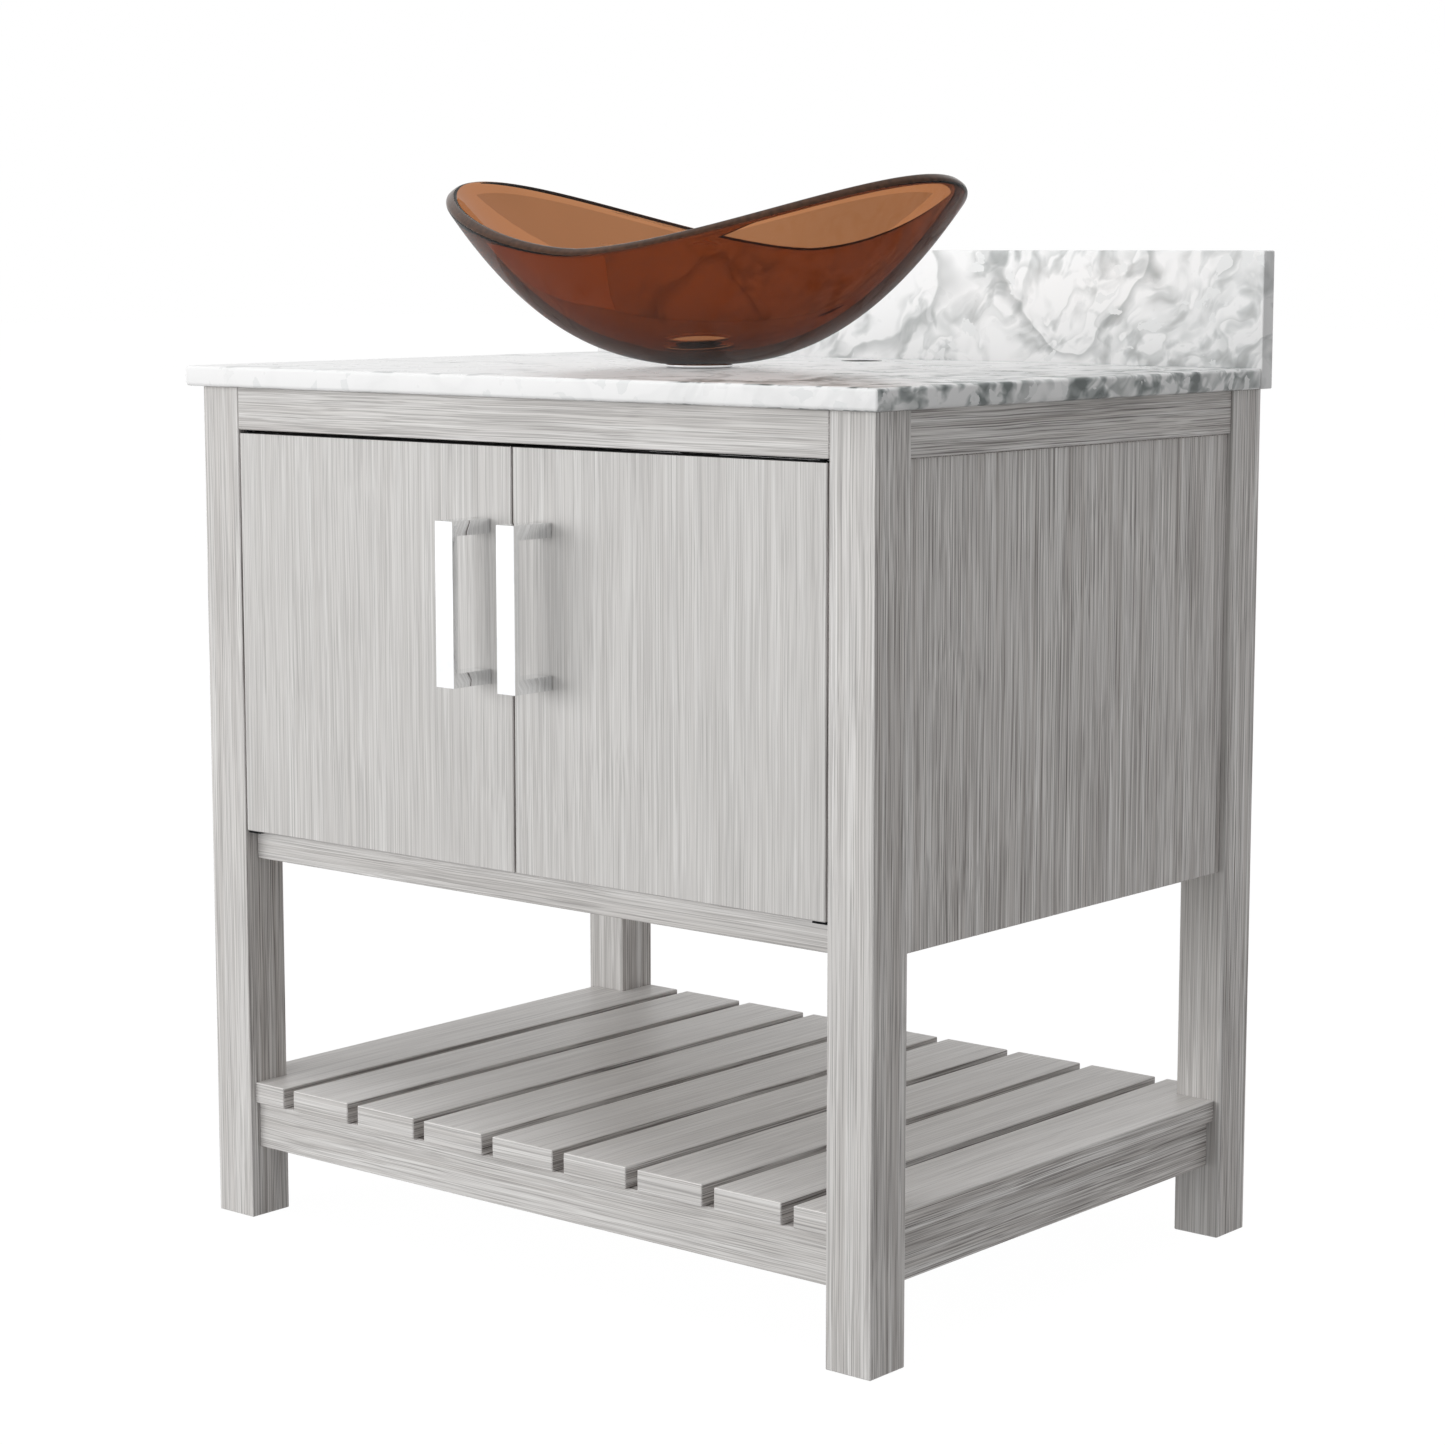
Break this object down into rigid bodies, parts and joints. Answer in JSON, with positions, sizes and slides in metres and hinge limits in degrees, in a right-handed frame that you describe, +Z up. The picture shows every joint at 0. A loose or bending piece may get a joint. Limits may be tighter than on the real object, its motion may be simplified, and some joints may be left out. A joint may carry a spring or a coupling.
{
  "type": "vessel sink vanity",
  "caption": "Free-standing bathroom vanity in grey-washed wood with a slatted shelf, inset doors, a marble top with backsplash and a boat-shaped brown glass vessel bowl.",
  "frame": {"origin": "bottom centre of the bounding box, on the floor", "axes": "+Z up, +Y to the wall (the doors face -Y), +X to the right for someone facing the doors"},
  "size_m": [0.762, 0.5874, 0.9199],
  "materials": {
    "grey_washed_oak": "matt lacquer over straight fine-grain veneer, washed grey",
    "melamine_board": "plain satin board",
    "white_marble": "polished, grey veins",
    "brown_glass": "clear tinted glass with a polished rim",
    "polished_chrome": "mirror polished",
    "satin_nickel": "satin",
    "drain_brass": "machined",
    "black_rubber": "matt",
    "white_plastic": "moulded"
  },
  "bodies": {
    "vanity": {"leg_front_left": "grey_washed_oak", "leg_front_right": "grey_washed_oak", "leg_back_left": "grey_washed_oak", "leg_back_right": "grey_washed_oak", "front_top_rail": "grey_washed_oak", "front_bottom_rail": "grey_washed_oak", "back_top_rail": "grey_washed_oak", "back_bottom_rail": "grey_washed_oak", "side_top_rail_left": "grey_washed_oak", "side_top_rail_right": "grey_washed_oak", "side_panel_left": "grey_washed_oak", "side_panel_right": "grey_washed_oak", "shelf_rail_front": "grey_washed_oak", "shelf_rail_back": "grey_washed_oak", "shelf_rail_left": "grey_washed_oak", "shelf_rail_right": "grey_washed_oak", "shelf_slat_1": "grey_washed_oak", "shelf_slat_2": "grey_washed_oak", "shelf_slat_3": "grey_washed_oak", "shelf_slat_4": "grey_washed_oak", "shelf_slat_5": "grey_washed_oak", "shelf_slat_6": "grey_washed_oak", "shelf_slat_7": "grey_washed_oak", "shelf_slat_8": "grey_washed_oak", "shelf_slat_9": "grey_washed_oak", "cabinet_floor": "melamine_board", "corner_block_front_left": "melamine_board", "corner_block_front_right": "melamine_board", "corner_block_back_left": "melamine_board", "corner_block_back_right": "melamine_board", "countertop": "white_marble", "backsplash": "white_marble", "glass_bowl": "brown_glass", "mounting_ring": "polished_chrome", "drain_body": "polished_chrome", "drain_tailpiece": "polished_chrome", "flange_gasket": "black_rubber", "drain_washer": "black_rubber", "drain_locknut": "drain_brass", "magnetic_catch": "white_plastic", "hinge_pin_leaf_top_left": "satin_nickel", "hinge_pin_leaf_top_right": "satin_nickel", "hinge_pin_leaf_bottom_left": "satin_nickel", "hinge_pin_leaf_bottom_right": "satin_nickel"},
    "door_left": {"door_left": "grey_washed_oak", "pull_left": "polished_chrome", "pull_screw_left_upper": "satin_nickel", "pull_screw_left_lower": "satin_nickel", "hinge_leaf_top_left": "satin_nickel", "hinge_leaf_bottom_left": "satin_nickel", "strike_plate_left": "satin_nickel"},
    "door_right": {"door_right": "grey_washed_oak", "pull_right": "polished_chrome", "pull_screw_right_upper": "satin_nickel", "pull_screw_right_lower": "satin_nickel", "hinge_leaf_top_right": "satin_nickel", "hinge_leaf_bottom_right": "satin_nickel", "strike_plate_right": "satin_nickel"},
    "stopper": {"drain_stopper": "polished_chrome", "stopper_seal": "black_rubber"}
  },
  "joints": [
    {"name": "door_left_hinge", "type": "hinge", "parent": "vanity", "child": "door_left", "pos_m": [-0.3173, -0.24425, 0.5272], "axis": [0, 0, -1], "range_deg": [0, 105]},
    {"name": "door_right_hinge", "type": "hinge", "parent": "vanity", "child": "door_right", "pos_m": [0.3173, -0.24425, 0.5272], "axis": [0, 0, 1], "range_deg": [0, 105]},
    {"name": "stopper_push", "type": "slide", "parent": "vanity", "child": "stopper", "axis": [0, 0, 1], "range_m": [-0.0045, 0], "stiffness_N_per_m": 200, "springref_m": 0.012}
  ]
}
